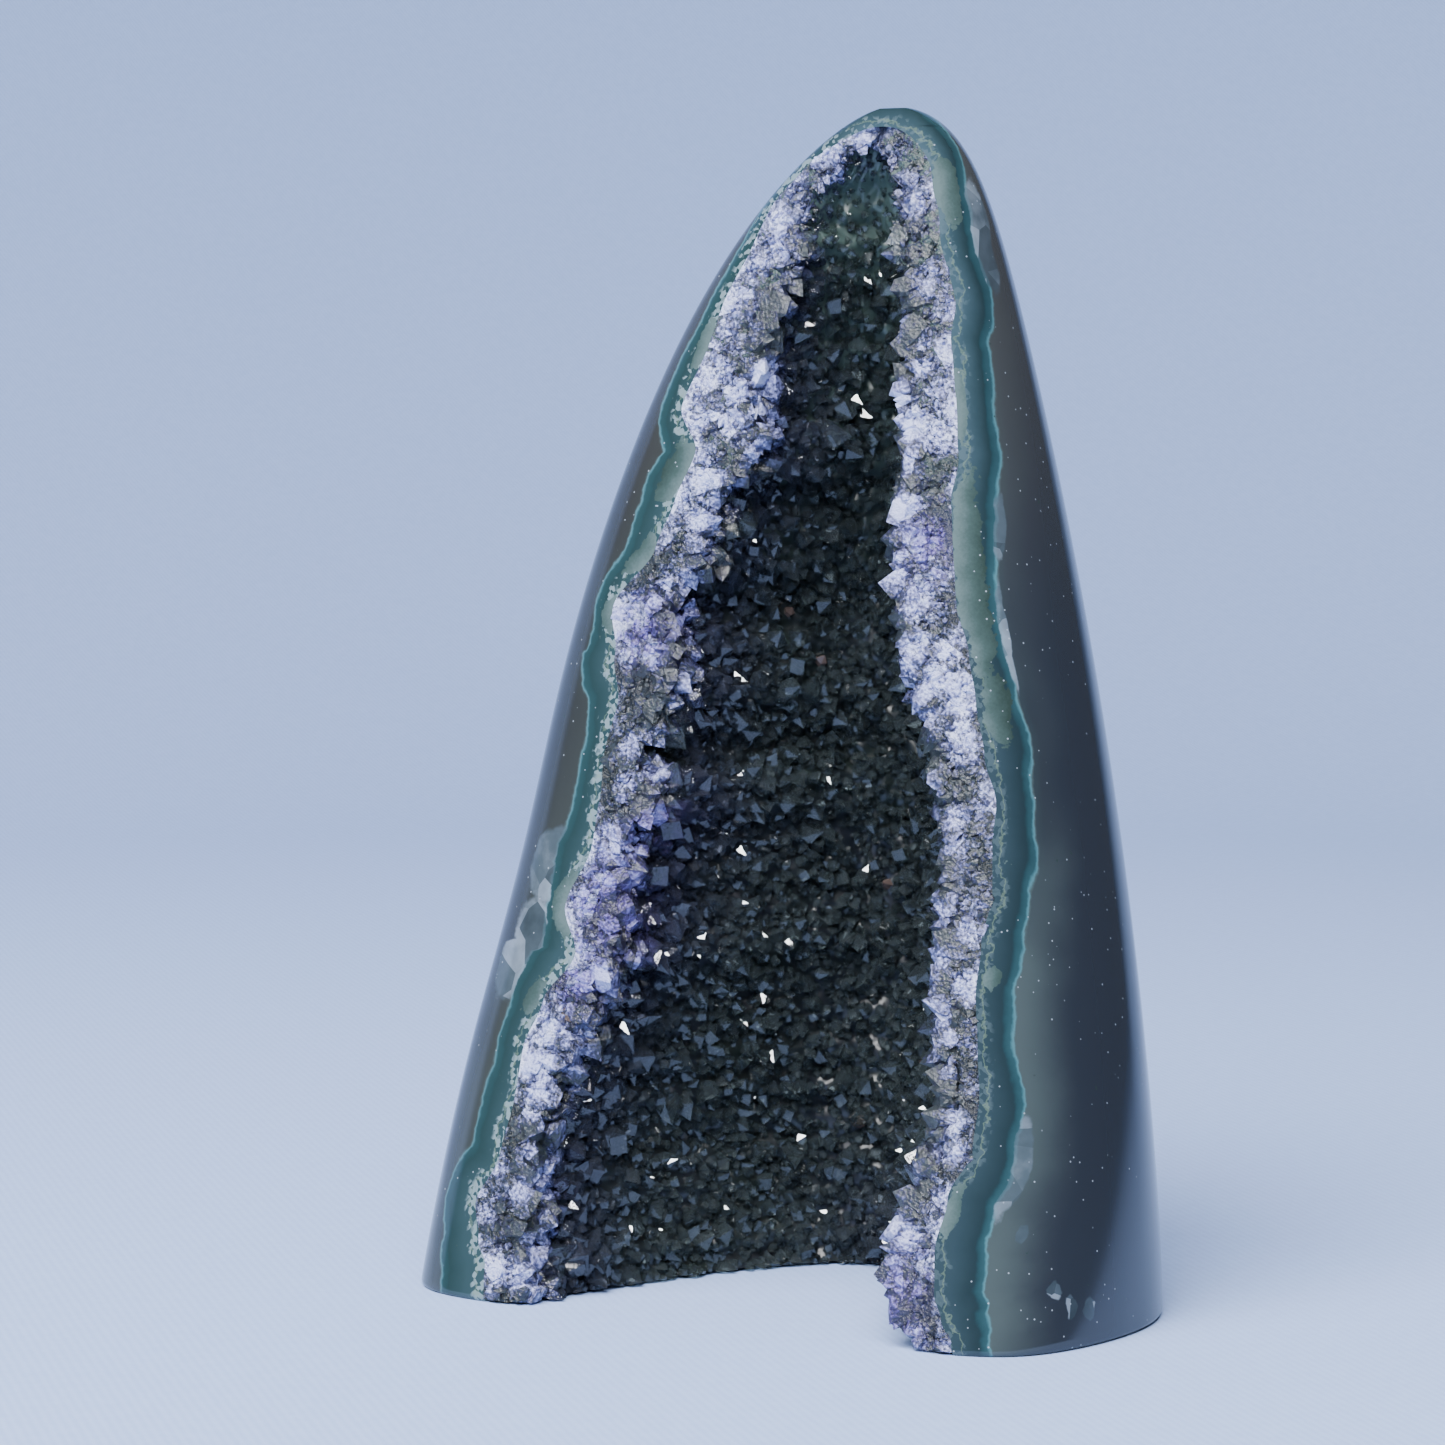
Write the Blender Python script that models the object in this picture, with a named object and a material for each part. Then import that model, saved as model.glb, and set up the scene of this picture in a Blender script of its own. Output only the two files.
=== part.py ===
"""Amethyst geode: an agate tower, cut flat at the base and polished outside, its hollow lined with crystals.

Frame: metres, +Z up. The hollow opens towards -Y, and the origin is the middle of the bounding box's base.
Two solids: the agate wall, which is the polished stone less its hollow, and the crystal crust, which is grown
as a faceted sheet on the hollow's wall and then ground flush with the stone, as the real crystals are.
"""

import math
import random

import bmesh
import bpy
import numpy as np
from mathutils import Vector
from mathutils.geometry import delaunay_2d_cdt

MM = 0.001

# The polished stone: ovals in level section, with the front ground flat. Shares are of a section's half width.
HEIGHT = 100 * MM
BASE_HALF_WIDTH = 32.4 * MM
STONE_TAPER = (1.18, 2.0)  # power of the height and root, as share_left uses them
FRONT_LEAN = math.radians(12)
FRONT_SHARE = 0.515  # from the widest line to the ground front
NATURAL_FRONT_SHARE = 0.92  # how far forward the oval would reach if it were not ground
BACK_SHARE = 0.74
CORNER_SHARPNESS = (10.0, 6.0)  # at the base and at the top, where the ground front turns into the sides
TOP_ROUNDING = 1.6 * MM
APEX_DRIFT = 6.2 * MM
DRIFT_POWER = 6.5
LEFT_FLAT = (math.radians(-155), 0.6, 37 * MM, 15 * MM, 0.032)  # direction, reach, height, reach, share
SURFACE_WAVES = ((0.005, 2, 0.7, 38.0), (0.003, 3, 2.1, 61.0))  # share, waves, start, radians a metre up
MID_DEPTH = 20.9 * MM  # from the ground front at the base to the middle of the bounding box

# The hollow's agate wall, a parabola in each level section.
HOLLOW_TOP = 98.3 * MM
HOLLOW_HALF_WIDTH = 21.6 * MM
HOLLOW_DEPTH = 32.0 * MM
HOLLOW_WIDTH_TAPER = (1.3, 2.2)
HOLLOW_DEPTH_TAPER = (1.23, 1.8)
# Bays and noses of the hollow's two edges: height and how far out of the tapered line, in millimetres.
LEFT_EDGE = ((0, 0), (10, 0.6), (20, -1.2), (31, -3.8), (48, -3.6), (58, -1.4), (68, -4.8), (78, -3), (98, -5))
RIGHT_EDGE = ((0, -0.6), (8, 0.2), (16, 2.9), (28, 2.9), (42, 4.7), (61, 1.8), (80, 4.0), (98, 6.0))
FRONT_OVERRUN = 1.16  # how far the hollow's section runs on past the ground front

# The crystal crust: a bed of crystals grown together, with a point on each.
CRUST_GAP = 0.55 * MM  # to the smooth wall, which leaves 0.3 mm to the faceted one
CRUST_FLOOR = 0.4 * MM  # how far above the base the crust ends
CRUST_TOP = 97.0 * MM
CRUST_RUN_DOWN = 2.0 * MM  # how far below the base the sheet starts, before it is ground
BED_THICKNESS = 2.1 * MM
CRYSTAL_RISE = (1.2 * MM, 2.3 * MM)
CRYSTAL_RADIUS = 1.8 * MM
FOOT_JITTER = 0.3 * MM
TIP_LEAN = 0.5 * MM
FOOT_LEAN = 0.15 * MM
CRUST_FULL_AT_RADIUS = 8.0 * MM
CRUST_FULL_AT_HALF_WIDTH = 12.0 * MM
THINNEST_SHARE = 0.2
BACK_SPACING = 3.2 * MM
OUTLINE_SPACING = 2.1 * MM
SEED = 11

# How finely the forms are drawn.
RINGS = 29
STONE_SIDES = 48
HOLLOW_SIDES = 20
PROFILE_SAMPLES = 800
ARC_SAMPLES = 121
TIP_SHARE = 0.9985  # where each form is closed with a small flat, as a share of its height


def share_left(z, top, taper):
    """What is left of a base size at height z: 1 at the base and 0 at the top."""
    power, root = taper
    return (1 - np.clip(np.asarray(z, float) / top, 0, 1) ** power) ** (1 / root)


def eased(z, points):
    """A value that runs smoothly through (height, value) points, all in millimetres."""
    heights, values = (np.array(column, float) * MM for column in zip(*points))
    z = np.clip(z, heights[0], heights[-1])
    after = np.clip(np.searchsorted(heights, z, side="right"), 1, len(heights) - 1)
    t = (z - heights[after - 1]) / (heights[after] - heights[after - 1])
    return values[after - 1] + (values[after] - values[after - 1]) * (3 - 2 * t) * t * t


def front_y(z):
    """The ground front leans back and rounds off near the top."""
    z = np.asarray(z, float)
    return z * math.tan(FRONT_LEAN) + TOP_ROUNDING * np.clip(z / HEIGHT, 0, 1) ** 10 - MID_DEPTH


def stone_point(angle, z):
    """A point of the polished outside. Each level section is an oval whose front is ground flat: the nearer of
    oval and flat counts, blended to round the corner between them. Angle 0 is +X and -90 degrees the front."""
    angle, z = np.broadcast_arrays(np.asarray(angle, float), np.asarray(z, float))
    half = BASE_HALF_WIDTH * share_left(z, HEIGHT, STONE_TAPER)
    across, back = np.cos(angle), np.sin(angle)
    depth = np.where(back < 0, NATURAL_FRONT_SHARE, BACK_SHARE)
    oval = 1 / np.hypot(across, back / depth)
    ground = np.where(back < -1e-6, FRONT_SHARE / np.maximum(-back, 1e-6), 1e6)
    up = np.clip(z / HEIGHT, 0, 1)
    sharp = CORNER_SHARPNESS[0] + (CORNER_SHARPNESS[1] - CORNER_SHARPNESS[0]) * up
    reach = (oval**-sharp + ground**-sharp) ** (-1 / sharp)
    direction, reach_round, height, reach_up, share = LEFT_FLAT
    turned = (angle - direction + math.pi) % (2 * math.pi) - math.pi
    reach = reach * (1 - share * np.exp(-((turned / reach_round) ** 2) - ((z - height) / reach_up) ** 2))
    for share, round_, start, rate in SURFACE_WAVES:
        reach = reach * (1 + share * np.sin(round_ * angle + start + rate * z) * np.clip(back + 0.6, 0, 1))
    x = APEX_DRIFT * up**DRIFT_POWER + half * reach * across
    y = front_y(z) + half * (FRONT_SHARE + reach * back)
    return np.stack([x, y, z], -1)


def hollow_edges(z):
    """The x of the hollow's left and right edge on the ground front."""
    half = HOLLOW_HALF_WIDTH * share_left(z, HOLLOW_TOP, HOLLOW_WIDTH_TAPER)
    return -half - eased(z, LEFT_EDGE), half + eased(z, RIGHT_EDGE)


def hollow_depth(z):
    """From the ground front to the back of the hollow's wall."""
    return HOLLOW_DEPTH * share_left(z, HOLLOW_TOP, HOLLOW_DEPTH_TAPER)


def hollow_point(s, z):
    """A point of the hollow's agate wall: a parabola from s = -1 at the left edge, by 0 at the back, to 1 at
    the right. It runs on past the ground front where s is beyond those."""
    s, z = np.broadcast_arrays(np.asarray(s, float), np.asarray(z, float))
    left, right = hollow_edges(z)
    x = (left + right) / 2 + s * (right - left) / 2
    return np.stack([x, front_y(z) + hollow_depth(z) * (1 - s * s), z], -1)


def inward(s, z):
    """The unit normal of the hollow's wall, towards the hollow."""
    step = 0.2 * MM
    along = hollow_point(s + 1e-3, z) - hollow_point(s - 1e-3, z)
    rise = hollow_point(s, np.minimum(z + step, HOLLOW_TOP - step)) - hollow_point(s, z - step)
    normal = np.cross(along, rise)
    return normal / np.linalg.norm(normal, axis=-1, keepdims=True)


def crust_fullness(s, z):
    """The crust's share of its full thickness: less where the hollow is narrow or its wall curves tightly."""
    left, right = hollow_edges(z)
    half, depth = (right - left) / 2, hollow_depth(z)
    curve_radius = (half**2 + (2 * depth * s) ** 2) ** 1.5 / (2 * half * depth)
    share = np.minimum(curve_radius / CRUST_FULL_AT_RADIUS, half / CRUST_FULL_AT_HALF_WIDTH)
    return np.clip(share, THINNEST_SHARE, 1)


def levels(top, taper, base_size):
    """Heights that lie evenly along the side's profile, so closer together near the top, where it closes."""
    z = np.linspace(0, top, PROFILE_SAMPLES)
    steps = np.hypot(np.diff(z), base_size * np.diff(share_left(z, top, taper)))
    along = np.concatenate([[0], np.cumsum(steps)])
    return np.interp(np.linspace(0, along[-1], RINGS + 1)[:-1], along, z)


def loft(name, rings):
    """A closed body through rings of points, with a face on the first and the last ring."""
    bm = bmesh.new()
    rows = [[bm.verts.new(p) for p in ring] for ring in rings]
    for low, high in zip(rows, rows[1:]):
        for i in range(len(low)):
            j = (i + 1) % len(low)
            bm.faces.new((low[i], low[j], high[j], high[i]))
    bm.faces.new(rows[0][::-1])
    bm.faces.new(rows[-1])
    return finished(name, bm)


def finished(name, bm):
    """The bmesh as an object, with its normals out."""
    bmesh.ops.recalc_face_normals(bm, faces=bm.faces)
    mesh = bpy.data.meshes.new(name)
    bm.to_mesh(mesh)
    bm.free()
    return bpy.data.objects.new(name, mesh)


def polished_stone(name, bottom):
    """The whole ground form, hollow not yet opened, from the height bottom up."""
    angles = np.linspace(0, 2 * math.pi, STONE_SIDES, endpoint=False)
    heights = [*levels(HEIGHT, STONE_TAPER, BASE_HALF_WIDTH), TIP_SHARE * HEIGHT]
    rings = [stone_point(angles, z) for z in heights]
    rings[0][:, 2] = bottom
    return loft(name, rings)


def hollow_form():
    """The hollow as a solid: its wall behind, run on to well in front of the stone, and down past the base."""
    s = np.linspace(-FRONT_OVERRUN, FRONT_OVERRUN, HOLLOW_SIDES + 1)
    heights = [*levels(HOLLOW_TOP, HOLLOW_WIDTH_TAPER, HOLLOW_HALF_WIDTH), TIP_SHARE * HOLLOW_TOP]
    rings = []
    for z in heights:
        wall = hollow_point(s, z)
        front = wall[[-1, 0]] - [0, HOLLOW_DEPTH / 2, 0]
        rings.append(np.concatenate([wall, front]))
    below = rings[0] - [0, 0, 5 * MM]
    return loft("hollow_form", [below, *rings])


def arc_lengths(z):
    """How far along the wall ARC_SAMPLES values of s lie from the back line, for every height in z."""
    s = np.linspace(-FRONT_OVERRUN, FRONT_OVERRUN, ARC_SAMPLES)
    points = hollow_point(s[None, :], np.asarray(z, float)[:, None])
    steps = np.linalg.norm(np.diff(points, axis=1), axis=2)
    along = np.concatenate([np.zeros((len(z), 1)), np.cumsum(steps, axis=1)], axis=1)
    return s, along - along[:, ARC_SAMPLES // 2 : ARC_SAMPLES // 2 + 1]


def climb_table():
    """Heights, from a little below the base, and how far up the back line of the hollow's wall each lies."""
    z = np.linspace(-CRUST_RUN_DOWN, CRUST_TOP, PROFILE_SAMPLES)
    line = hollow_point(0.0, z)
    steps = np.linalg.norm(np.diff(line, axis=0), axis=1)
    return z, np.concatenate([[0], np.cumsum(steps)])


def unrolled_outline(heights, climb):
    """The outline of the hollow's wall when it is rolled out flat, as points OUTLINE_SPACING apart."""
    s, along = arc_lengths(heights)
    left, right = along[:, 0], along[:, -1]
    up = np.arange(0, climb[-1], OUTLINE_SPACING)
    left_side = np.stack([np.interp(up, climb, left), up], -1)
    right_side = np.stack([np.interp(up, climb, right), up], -1)
    across = np.arange(left[0] + OUTLINE_SPACING, right[0] - OUTLINE_SPACING / 2, OUTLINE_SPACING)
    bottom = np.stack([across, np.zeros_like(across)], -1)
    top = np.array([[right[-1], climb[-1]], [left[-1], climb[-1]]])
    return np.concatenate([bottom, right_side, top, left_side[::-1]])


def well_inside(points, outline, margin):
    """Which points lie inside the outline and further than margin from it."""
    ends = np.roll(outline, -1, axis=0)
    edge = ends - outline
    to_point = points[:, None, :] - outline[None]
    t = np.clip((to_point * edge).sum(-1) / (edge**2).sum(-1), 0, 1)
    clear = np.linalg.norm(to_point - t[..., None] * edge, axis=-1).min(1) > margin
    crosses = (outline[:, 1] > points[:, 1:2]) != (ends[:, 1] > points[:, 1:2])
    rise = np.where(edge[:, 1] == 0, 1e-12, edge[:, 1])
    crossing_x = outline[:, 0] + (points[:, 1:2] - outline[:, 1]) / rise * edge[:, 0]
    odd = (crosses & (points[:, :1] < crossing_x)).sum(1) % 2 == 1
    return odd & clear


def lattice(outline, spacing, jitter, dice):
    """Points of a jittered triangular lattice inside the outline, and which of them are crystal tips. Every
    third point is one, so that six feet lie round each tip."""
    low, high = outline.min(0), outline.max(0)
    row_height = spacing * math.sqrt(3) / 2
    points, tips = [], []
    for row in range(int((high[1] - low[1]) / row_height) + 2):
        for column in range(int((high[0] - low[0]) / spacing) + 2):
            x = low[0] + (column + 0.5 * (row % 2)) * spacing
            y = low[1] + row * row_height
            points.append((x + dice.uniform(-jitter, jitter), y + dice.uniform(-jitter, jitter)))
            tips.append((column - row // 2 + 2 * row) % 3 == 0)
    points, tips = np.array(points), np.array(tips)
    kept = well_inside(points, outline, 0.45 * spacing)
    return points[kept], tips[kept]


def triangulated(outline, inner):
    """Triangles over the inside of the outline, with the inner points as corners too."""
    points = [Vector(p) for p in np.concatenate([outline, inner])]
    rim = list(range(len(outline)))
    found = delaunay_2d_cdt(points, [], [rim], 1, 1e-9)
    came_from = [group[0] for group in found[3]]
    return [[came_from[i] for i in face] for face in found[2]]


def on_the_wall(flat, heights, climb):
    """The s and z of points of the unrolled wall."""
    z = np.interp(flat[:, 1], climb, heights)
    s, along = arc_lengths(z)
    at = np.array([np.interp(p, row, s) for p, row in zip(flat[:, 0], along)])
    return at, z


def crust_sheet():
    """The crust before grinding: a closed sheet, plain behind, with six-sided crystals in front."""
    dice = random.Random(SEED)
    heights, climb = climb_table()
    outline = unrolled_outline(heights, climb)
    rim = len(outline)
    feet, tips = lattice(outline, CRYSTAL_RADIUS, FOOT_JITTER, dice)
    plain, _ = lattice(outline, BACK_SPACING, 0, dice)
    bm = bmesh.new()

    def placed(flat, thickness, lean):
        s, z = on_the_wall(flat, heights, climb)
        full = crust_fullness(s, z)[:, None]
        points = hollow_point(s, z) + inward(s, z) * (CRUST_GAP + thickness[:, None] * full) + lean * full
        return [bm.verts.new(p) for p in points]

    front_flat = np.concatenate([outline, feet])
    is_tip = np.concatenate([np.zeros(rim, bool), tips])
    rise = np.array([dice.uniform(*CRYSTAL_RISE) for _ in is_tip])
    lean = np.array([[dice.uniform(-1, 1) for _ in range(3)] for _ in is_tip])
    lean *= np.where(is_tip, TIP_LEAN, FOOT_LEAN)[:, None]
    front = placed(front_flat, BED_THICKNESS + np.where(is_tip, rise, 0), lean)
    back_flat = np.concatenate([outline, plain])
    back = placed(back_flat, np.zeros(len(back_flat)), np.zeros((len(back_flat), 3)))
    for corners in triangulated(outline, feet):
        bm.faces.new([front[i] for i in corners])
    for corners in triangulated(outline, plain):
        bm.faces.new([back[i] for i in reversed(corners)])
    for i in range(rim):
        j = (i + 1) % rim
        bm.faces.new((back[i], back[j], front[j], front[i]))
    return finished("crystal_crust", bm)


def plain_material(name, colour, roughness):
    """A Principled material with one colour."""
    material = bpy.data.materials.new(name)
    material.use_nodes = True
    shader = material.node_tree.nodes["Principled BSDF"]
    shader.inputs["Base Color"].default_value = (*colour, 1)
    shader.inputs["Roughness"].default_value = roughness
    shader.inputs["Metallic"].default_value = 0
    return material


def cut(obj, operation, cutter):
    """Adds a Boolean modifier."""
    modifier = obj.modifiers.new(operation.lower(), "BOOLEAN")
    modifier.operation = operation
    modifier.object = cutter
    modifier.solver = "EXACT"


def helper(obj, collection):
    """A cutter: in its own collection, drawn as wire and not rendered."""
    collection.objects.link(obj)
    obj.hide_render = True
    obj.display_type = "WIRE"


def main():
    for obj in list(bpy.data.objects):
        bpy.data.objects.remove(obj)
    geode = bpy.data.collections.new("amethyst_geode")
    cutters = bpy.data.collections.new("cutters")
    for collection in (geode, cutters):
        bpy.context.scene.collection.children.link(collection)

    hollow = hollow_form()
    ground_form = polished_stone("ground_form", CRUST_FLOOR)
    helper(hollow, cutters)
    helper(ground_form, cutters)

    wall = polished_stone("agate_wall", 0)
    wall.data.shade_smooth()
    wall.data.set_sharp_from_angle(angle=math.radians(40))
    geode.objects.link(wall)
    cut(wall, "DIFFERENCE", hollow)
    wall.data.materials.append(plain_material("polished_agate", (0.012, 0.017, 0.020), 0.12))

    crust = crust_sheet()
    geode.objects.link(crust)
    cut(crust, "INTERSECT", ground_form)
    crust.data.materials.append(plain_material("amethyst_crystal", (0.22, 0.19, 0.34), 0.25))


main()
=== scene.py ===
"""Looks of the amethyst geode: a fine agate wall with its bands, and a crust of small see-through crystals.

The shapes repeat the sizes of the part's source, in metres, and add what is finer: the crinkled edge of the
hollow, its teal line, the lumpy ground edge of the crystal layer and some thousands of six-sided points.
"""

import functools
import math

import bmesh
import bpy
import numpy as np
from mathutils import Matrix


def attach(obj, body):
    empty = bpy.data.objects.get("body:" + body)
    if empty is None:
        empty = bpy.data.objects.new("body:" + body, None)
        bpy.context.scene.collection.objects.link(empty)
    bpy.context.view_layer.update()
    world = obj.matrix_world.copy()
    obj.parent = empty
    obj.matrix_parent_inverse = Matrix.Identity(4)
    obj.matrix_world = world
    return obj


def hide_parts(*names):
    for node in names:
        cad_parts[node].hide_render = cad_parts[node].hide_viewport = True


MM = 0.001

# The polished stone, as in the part's source.
HEIGHT = 100 * MM
BASE_HALF_WIDTH = 32.4 * MM
STONE_TAPER = (1.18, 2.0)
FRONT_LEAN = math.radians(12)
FRONT_SHARE = 0.515
NATURAL_FRONT_SHARE = 0.92
BACK_SHARE = 0.74
CORNER_SHARPNESS = (10.0, 6.0)
TOP_ROUNDING = 1.6 * MM
APEX_DRIFT = 6.2 * MM
DRIFT_POWER = 6.5
LEFT_FLAT = (math.radians(-155), 0.6, 37 * MM, 15 * MM, 0.032)
SURFACE_WAVES = ((0.005, 2, 0.7, 38.0), (0.003, 3, 2.1, 61.0))
MID_DEPTH = 20.9 * MM
BASE_BEVEL = 0.5 * MM
CAD_TOP = 99.85 * MM  # the solid's tip is closed a little below its full height
CAD_FRONT = -20.71 * MM  # nothing stands further forward than the solid

# The hollow.
HOLLOW_TOP = 98.3 * MM
HOLLOW_HALF_WIDTH = 21.6 * MM
HOLLOW_DEPTH = 32.0 * MM
HOLLOW_WIDTH_TAPER = (1.3, 2.2)
HOLLOW_DEPTH_TAPER = (1.23, 1.8)
# Where crystals begin on the ground front: height, and how far out of the tapered line, in millimetres.
LEFT_BAYS = (
    (0, -1.0), (3, -0.7), (5, 0.4), (8, 1.3), (12, -0.4), (17, -0.9), (21, -0.8), (25, -1.9), (29, -4.2), (33, -2.2),
    (38, -3.7), (42, -3.5), (46, -3.0), (50, -3.3), (54, -1.9), (58, -0.5), (63, -3.4), (67, -4.1), (71, -4.8),
    (75, -2.0), (80, -2.7), (84, -2.6), (88, -3.1), (92, -2.9), (95, -3.8), (98.3, -5.5),
)
RIGHT_BAYS = (
    (0, 1.4), (1, 1.2), (2.6, 0.3), (4.7, -0.4), (8, -0.5), (12, 0.4), (16, 2.3), (20, 2.7), (24, 2.5), (28, 2.3),
    (32, 2.7), (36, 3.5), (40, 3.5), (43, 3.8), (47, 3.0), (51, 2.5), (55, 2.1), (59, 1.3), (63, 1.3), (67, 1.4),
    (71, 2.3), (76, 2.6), (80, 2.8), (84, 3.7), (88, 3.6), (92, 4.3), (96, 5.3), (98.3, 5.5),
)
# From there out to the teal line, in millimetres along the stone.
LEFT_BAND = (
    (0, 4.2), (4, 3.9), (8, 3.3), (12, 2.5), (16, 2.9), (21, 2.2), (25, 2.8), (29, 3.9), (33, 1.3), (37, 2.9),
    (42, 2.1), (46, 1.6), (50, 2.4), (54, 3.0), (58, 1.4), (63, 2.4), (67, 2.9), (71, 2.7), (75, 1.7),
    (80, 1.6), (84, 0.9), (88, 0.8), (92, 0.7), (96, 1.2), (98.3, 2.2),
)
RIGHT_BAND = (
    (0, 2.4), (3, 3.2), (8, 3.7), (12, 3.2), (16, 2.9), (20, 2.9), (24, 2.3), (28, 2.4), (32, 2.8), (36, 2.4),
    (39, 3.2), (43, 2.6), (47, 3.4), (51, 2.9), (55, 2.4), (59, 2.7), (63, 2.8), (67, 3.0), (71, 2.9),
    (76, 2.7), (80, 2.7), (84, 2.9), (88, 2.4), (92, 2.3), (96, 2.5), (98.3, 2.2),
)
# How wide the ground edge of the crystal layer is, in millimetres across the front.
LEFT_LAYER = (
    (0, 3.0), (4, 3.3), (8, 4.6), (12, 1.9), (16, 2.2), (21, 3.4), (25, 3.2), (29, 2.8), (33, 3.8), (38, 2.1),
    (42, 3.9), (46, 1.8), (50, 3.6), (54, 4.5), (58, 4.2), (63, 3.8), (67, 2.7), (71, 4.5), (75, 5.9),
    (80, 4.6), (84, 4.6), (88, 4.7), (92, 3.3), (98.3, 2.9),
)
RIGHT_LAYER = (
    (0, 1.4), (1.4, 2.6), (3, 3.0), (8, 3.2), (12, 2.4), (16, 2.8), (20, 2.5), (28, 2.7), (32, 2.9),
    (35, 3.3), (39, 2.8), (43, 4.1), (47, 3.4), (51, 4.1), (55, 5.0), (59, 4.2), (63, 4.3), (67, 4.1),
    (71, 3.6), (76, 4.2), (80, 3.1), (84, 3.4), (88, 3.6), (92, 2.9), (96, 3.6), (98.3, 2.9),
)
# How milky the crystals of the ground edge are, 0 to 1 by height in millimetres.
LEFT_MILK = (
    (0, 0.4), (4, 0.95), (8, 1.05), (12, 0.5), (15, 0.3), (19, 0.8), (24, 0.9), (28, 0.8), (35, 1), (39, 0.7),
    (42, 0.15), (46, 0.2), (49, 0.7), (53, 0.5), (56, 1), (60, 0.9), (63, 0.5), (68, 0.8), (75, 1.25), (98, 1.35),
)
RIGHT_MILK = (
    (0, 0.4), (4, 0.9), (8, 0.9), (12, 0.35), (17, 0.25), (22, 0.3), (27, 0.5), (31, 0.4), (36, 0.4), (41, 0.45),
    (44, 0.15), (47, 0.35), (51, 0.95), (56, 0.65), (63, 0.9), (67, 0.85), (70, 0.2), (74, 1.3), (78, 1.3), (80, 0.4),
    (88, 0.5), (94, 0.85), (98, 0.8),
)
# Where the crystals are of a stronger violet: x, height and reach in millimetres.
VIOLET_SPOTS = ((-12.5, 33, 4.5), (-8.5, 39, 3.5), (-12, 56, 3), (18, 4, 3.5), (-15, 27, 2.5), (4, 2, 6), (15, 64, 3))
# Feet of the few crystals that iron has stained copper-brown: x and height in millimetres.
RUSTY_SPOTS = ((1.6, 33), (-16.5, 24), (-5.5, 57), (-3, 53), (6, 18), (-1, 12))
# Paler places in the green band: side, height, half height, distance from the crystals, half width, in mm.
SAGE_PATCHES = (
    (1, 61, 8.5, 1.2, 1.3), (1, 50.8, 3.0, 1.7, 1.1), (1, 29.4, 0.8, 1.3, 0.7), (1, 11.2, 2.2, 0.55, 0.6),
    (1, 93, 3, 1.1, 1.0), (-1, 69.6, 2.6, 1.1, 1.3), (-1, 62.4, 1.6, 0.7, 1.0), (-1, 33.2, 3, 0.5, 0.9),
    (-1, 57.2, 1.5, 0.4, 0.8), (-1, 25.3, 1.5, 1.2, 0.8), (-1, 80, 2, 0.5, 0.8), (1, 75, 3, 0.3, 0.5),
)
# Milky places just outside the teal line, with distances from that line.
CLOUDY_PATCHES = (
    (1, 89, 4.8, 1.3, 1.5), (1, 65.2, 2.8, 0.95, 0.7), (1, 56.5, 4.5, 0.8, 0.4), (1, 14.5, 4.2, 1.0, 1.0),
    (-1, 36.3, 3.2, 1.4, 2.4), (-1, 29.0, 4.5, 1.8, 2.6), (1, 9.5, 0.8, 3.1, 0.5), (1, 5, 0.8, 6.5, 0.6),
    (1, 3.4, 1.0, 7.6, 0.5), (1, 3, 0.9, 9.4, 0.6),
)
BED_THICKNESS = 2.3 * MM
# How far apart the crystals stand, and their middling radius in millimetres.
POINT_SPACING = 0.94 * MM
POINT_RADIUS = 0.54
SUGAR_SPACING = 0.5 * MM
SUGAR_RADIUS = 0.32
CRUST_FLOOR = 0.3 * MM

# How finely the surfaces are drawn.
ROWS = 250
CAP_ROWS = 14
OUTSIDE_COLUMNS = 170
HOLLOW_COLUMNS = 34
STRIP_COLUMNS = 18
BED_COLUMNS = 120
SEED = 23

# The camera, in metres, and how the picture lies.
CAMERA_PLACE = (0.1770, -0.3373, 0.0780)
CAMERA_HEADING = (-0.4828, 0.8757)
CAMERA_PITCH = math.radians(4.48)
FOCAL_SHARE = 4500 / 1445  # focal length over the picture's width
SENSOR_WIDTH = 36.0

# Where the cloth rises to a wall behind the geode, by angle from +X.
WALL_MIDDLE = math.radians(136)
WALL_HALF_SPAN = math.radians(67)
WALL_END = math.radians(16)
FLAT_RADIUS = 0.38
WALL_CURVE = 0.30
# Where the small lights stand that glint in the crystals.
GLINT_PLACES = ((0.30, -0.80, 0.75), (0.75, -0.55, 0.60), (-0.1, -0.8, 0.7), (0.4, -0.6, 0.95))

SMOOTH = {"interpolation_type": "SMOOTHSTEP"}


def share_left(z, top, taper):
    """What is left of a base size at height z: (1 - (z / top) ^ power) ^ (1 / root)."""
    power, root = taper
    return (1 - np.clip(np.asarray(z, float) / top, 0, 1) ** power) ** (1 / root)


def eased(z, points):
    """A value that runs smoothly through (height, value) points, all in millimetres."""
    heights, values = (np.array(column, float) * MM for column in zip(*points))
    z = np.clip(z, heights[0], heights[-1])
    after = np.clip(np.searchsorted(heights, z, side="right"), 1, len(heights) - 1)
    t = (z - heights[after - 1]) / (heights[after] - heights[after - 1])
    return values[after - 1] + (values[after] - values[after - 1]) * (3 - 2 * t) * t * t


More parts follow.
